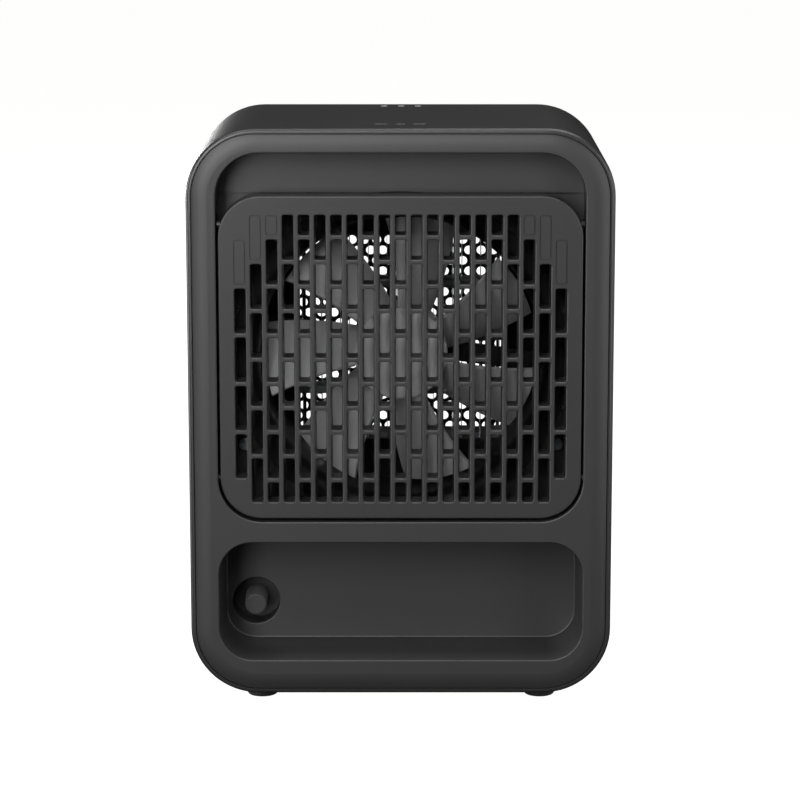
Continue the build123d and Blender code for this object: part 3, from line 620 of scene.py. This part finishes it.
@dataclass
class CordEntry(SubAssembly):
    """Gland in the lower recess, and the clamp behind it."""

    def build(self) -> None:
        """Paints the gland, the clamp and its screws."""
        self.paint(GLAND_PVC, "cord_gland")
        self.paint(NYLON, "cord_clamp")
        self.paint(SCREW_STEEL, "clamp_screws")


@dataclass
class Fan(SubAssembly):
    """Axial fan: shroud, impeller and the motor on its bracket."""

    def build(self) -> None:
        """Paints the fan and its motor."""
        self.paint(DUCT_PP, "fan_shroud", "motor_bracket")
        self.paint(FAN_PP, "impeller")
        self.paint(BRASS, "hub_bush", "motor_bearings")
        self.paint(MOTOR_STEEL, "motor_can", "motor_end_cap", "motor_shaft")
        self.paint(STATOR_STEEL, "motor_stator", "motor_rotor")
        self.paint(SCREW_STEEL, "plenum_screws", "bracket_screws")


@dataclass
class Heater(SubAssembly):
    """Ceramic heating element between its ducts, with its two limiters."""

    def build(self) -> None:
        """Paints the element, its holder and limiters."""
        self.paint(DUCT_PP, "air_duct")
        self.paint(HEAT_RESIN, "element_holder")
        self.paint(ALUMINIUM, "element_tubes", "element_fins")
        self.paint(PTC_STONE, "ceramic_stones")
        self.paint(BRASS, "element_terminals")
        self.paint(MOTOR_STEEL, "thermal_cutout", "thermal_fuse")


@dataclass
class Outlet(SubAssembly):
    """Outlet duct and perforated grille."""

    def build(self) -> None:
        """Paints the duct, the grille and the screws."""
        self.paint(DUCT_PP, "outlet_duct")
        self.paint(GRILLE_PPS, "outlet_grille")
        self.paint(SCREW_STEEL, "duct_screws")


@dataclass
class Selector(SubAssembly):
    """Rotary selector in its dish, with its printed positions."""

    floor_gap: float = 0.6
    mark_radius: float = 22.0
    mark_length: float = 2.6
    mark_width: float = 0.7
    mark_gap: float = 1.6
    positions: int = 4
    step_degrees: float = 45.0
    groove_top: float = 0.5
    groove_offset: float = 13.0
    pointer_length: float = 7.6
    pointer_width: float = 0.9
    pointer_thickness: float = 0.12

    def build(self) -> None:
        """Paints the selector, and prints the positions and the pointer."""
        self.paint(KNOB_ABS, "selector_knob")
        self.paint(MOTOR_STEEL, "selector_spindle", "switch_nut")
        self.paint(DUCT_PP, "selector_switch")
        low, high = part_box("selector_knob")
        middle = (low + high) / 2
        # Both planes face +Y: the first axis runs along -X, the second along +Z.
        turn = Matrix(((-1, 0, 0), (0, 0, 1), (0, 1, 0))).to_4x4()
        dish = Matrix.Translation((middle.x, low.y - self.floor_gap * MM, middle.z)) @ turn
        groove = Matrix.Translation((middle.x, high.y - self.groove_top * MM, middle.z)) @ turn
        self.print_positions(dish)
        self.fill_pointer(groove)

    def print_positions(self, plane: Matrix) -> None:
        """Prints a ring for off and one, two and three dashes for the others on the dish's floor.

        Args:
            plane: the dish's floor, with its origin on the spindle.
        """
        radius = self.mark_length / 2
        off = (0.0, self.mark_radius)
        ring = (ring_outline(radius, off), ring_outline(radius - self.mark_width, off))
        dashes = []
        for position in range(1, self.positions):
            turn = math.radians(position * self.step_degrees)
            for dash in range(position):
                aside = (dash - (position - 1) / 2) * self.mark_gap
                centre = (
                    self.mark_radius * math.sin(turn) + aside * math.cos(turn),
                    self.mark_radius * math.cos(turn) - aside * math.sin(turn),
                )
                dashes.append(dash_outline(self.mark_length, self.mark_width, centre, math.pi / 2 - turn))
        InkFilm("selector_marks", plane, WHITE_INK, "housing", "cover").lay_down(dashes, [ring])

    def fill_pointer(self, plane: Matrix) -> None:
        """Fills the pointer groove of the grip with ink.

        Args:
            plane: the groove's floor, with its origin on the spindle.
        """
        line = dash_outline(self.pointer_length, self.pointer_width, (0.0, self.groove_offset), math.pi / 2)
        film = InkFilm("selector_pointer", plane, WHITE_INK, "selector", "knob", self.pointer_thickness)
        film.lay_down([line])


@dataclass
class Electrics(SubAssembly):
    """Pilot light, terminal block and tip-over switch."""

    def build(self) -> None:
        """Paints the small electrical parts."""
        self.paint(AMBER_LENS, "indicator_lens")
        self.paint(NYLON, "indicator_lamp", "terminal_block", "tip_switch")
        self.paint(BRASS, "terminal_screws")


# ------------------------------------------------------------------ studio
@dataclass(frozen=True)
class Softbox:
    """A rectangular soft light that faces a point of the heater."""

    name: str
    place: Place
    aim: Place
    size: Point
    power: float

    def hang(self) -> bpy.types.Object:
        """Makes the light.

        Returns:
            The light's object.
        """
        data = bpy.data.lights.new(self.name, "AREA")
        data.shape = "RECTANGLE"
        data.size, data.size_y = self.size[0] * MM, self.size[1] * MM
        data.energy = self.power
        lamp = bpy.data.objects.new(self.name, data)
        lamp.location = Vector(self.place) * MM
        lamp.rotation_euler = (Vector(self.aim) - Vector(self.place)).to_track_quat("-Z", "Y").to_euler()
        lamp.visible_camera = False
        bpy.context.scene.collection.objects.link(lamp)
        LOG.info("%s: %.1f W", self.name, self.power)
        return lamp


SOFTBOXES = (
    Softbox("left_softbox", (-1300, -150, 180), (0, -59, 140), (700, 700), 9.5),
    Softbox("overhead_strip", (0, -200, 1200), (0, -59, 140), (1400, 300), 7.0),
    Softbox("intake_softbox", (-600, -1500, 350), (0, -59, 140), (500, 700), 9.5),
    Softbox("intake_high", (-150, -1300, 900), (0, -59, 140), (500, 500), 4.2),
    Softbox("intake_high_left", (-550, -1250, 850), (0, -59, 140), (500, 500), 4.8),
    Softbox("right_softbox", (1300, -100, 250), (0, -59, 140), (700, 700), 3.0),
    Softbox("right_strip", (330, -330, 220), (0, -59, 140), (150, 400), 0.5),
    Softbox("outlet_softbox", (400, 900, 1500), (0, 59, 140), (900, 700), 6.0),
    Softbox("outlet_fill", (-900, 1400, 400), (0, 59, 140), (500, 700), 22.0),
)


@dataclass
class Studio:
    """Pale floor, soft light and camera.

    The floor and the air show white to the camera and give almost no light to the heater. The softboxes do.
    """

    floor_size: float = 40000.0
    floor_base: str = "#8a8a8a"
    fibre_mm: float = 400.0
    floor_tone: str = "#fdfdfc"
    floor_glow: float = 1.0
    air_tone: str = "#ffffff"
    air_glow: float = 0.01
    camera_place: Place = (3.6, -1386.5, 398.2)
    camera_pitch: float = 10.987
    lens: float = 136.4
    shift: float = -0.0109
    sight_metres: float = 100.0

    def build(self) -> None:
        """Sets up the floor, the surroundings, the lights and the camera."""
        self.lay_floor()
        self.fill_air()
        for softbox in SOFTBOXES:
            softbox.hang()
        self.set_camera()
        bpy.context.scene.view_settings.view_transform = "Standard"

    def lay_floor(self) -> None:
        """Lays a large, even floor that its own glow makes pale, and that lights nothing else."""
        material = bpy.data.materials.new("studio_paper")
        material.use_nodes = True
        tree = material.node_tree
        tree.nodes.clear()
        place = add_node(tree, "ShaderNodeTexCoord").outputs["Object"]
        fibre = add_node(
            tree, "ShaderNodeTexNoise", {"Scale": 1 / (self.fibre_mm * MM), "Detail": 2.0}, {"Vector": place}
        )
        shade = add_node(
            tree, "ShaderNodeMapRange", {"To Min": 0.92, "To Max": 0.97}, {"Value": fibre.outputs["Fac"]}
        )
        paper = add_node(
            tree, "ShaderNodeBsdfPrincipled",
            {
                "Base Color": linear(self.floor_base),
                "Emission Color": linear(self.floor_tone),
                "Emission Strength": self.floor_glow,
            },
            {"Roughness": shade.outputs["Result"]},
        )
        add_node(tree, "ShaderNodeOutputMaterial", links={"Surface": paper.outputs["BSDF"]})
        half = self.floor_size / 2 * MM
        mesh = bmesh.new()
        corners = ((-1, -1), (1, -1), (1, 1), (-1, 1))
        mesh.faces.new([mesh.verts.new((x * half, y * half, 0.0)) for x, y in corners])
        data = bpy.data.meshes.new("studio_floor")
        mesh.to_mesh(data)
        mesh.free()
        data.materials.append(material)
        floor = bpy.data.objects.new("studio_floor", data)
        floor.visible_glossy = False
        floor.visible_diffuse = False
        bpy.context.scene.collection.objects.link(floor)

    def fill_air(self) -> None:
        """Surrounds the set with a very dim even glow, which shows as full white to the camera alone."""
        world = bpy.data.worlds.new("studio_air")
        world.use_nodes = True
        tree = world.node_tree
        tree.nodes.clear()
        seen = add_node(tree, "ShaderNodeLightPath").outputs["Is Camera Ray"]
        strength = add_node(
            tree, "ShaderNodeMapRange", {"To Min": self.air_glow, "To Max": 1.0}, {"Value": seen}
        )
        glow = add_node(
            tree, "ShaderNodeBackground",
            {"Color": linear(self.air_tone)},
            {"Strength": strength.outputs["Result"]},
        )
        add_node(tree, "ShaderNodeOutputWorld", links={"Surface": glow.outputs["Background"]})
        bpy.context.scene.world = world

    def set_camera(self) -> None:
        """Puts the camera behind the intake, a little above the heater."""
        data = bpy.data.cameras.new("studio_camera")
        data.lens = self.lens
        data.shift_x = self.shift
        data.clip_end = self.sight_metres
        camera = bpy.data.objects.new("studio_camera", data)
        camera.location = Vector(self.camera_place) * MM
        camera.rotation_euler = (math.radians(90.0 - self.camera_pitch), 0.0, 0.0)
        bpy.context.scene.collection.objects.link(camera)
        bpy.context.scene.camera = camera


def main() -> None:
    """Builds and finishes every sub-assembly and the studio."""
    logging.basicConfig(level=logging.INFO, format="%(message)s", stream=sys.stdout)
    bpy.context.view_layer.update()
    nodes = frame["nodes"]
    for kind in (Housing, Intake, CordEntry, Fan, Heater, Outlet, Selector, Electrics):
        LOG.info("-- %s", kind.__name__)
        kind(nodes).build()
    Studio().build()


if __name__ == "__main__":
    main()
